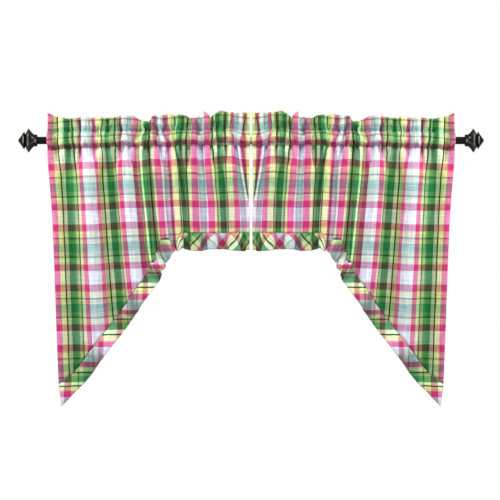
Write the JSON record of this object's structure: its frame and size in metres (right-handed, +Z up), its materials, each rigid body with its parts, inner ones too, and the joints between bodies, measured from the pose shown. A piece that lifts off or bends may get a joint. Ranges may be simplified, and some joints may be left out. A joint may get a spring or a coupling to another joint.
{
  "type": "window valance on rod",
  "caption": "Pair of gathered swag valances with long tapering tails and bias bands, hung by their rod pockets on a round rod with stepped six-sided finials.",
  "frame": {"origin": "on the rod's axis, midway between its ends, where the two swags meet", "axes": "+X along the rod, to the right as seen from the room; +Y towards the wall; +Z up"},
  "size_m": [1.4716, 0.0673, 0.9238],
  "materials": {
    "check_cloth": "matt woven cotton check in pink, green, yellow and white",
    "dark_metal": "satin dark bronze, nearly black"
  },
  "bodies": {
    "root": {"swag_left": "check_cloth", "swag_right": "check_cloth", "band_left": "check_cloth", "band_right": "check_cloth", "rod": "dark_metal", "finial_left": "dark_metal", "finial_right": "dark_metal"}
  },
  "joints": []
}
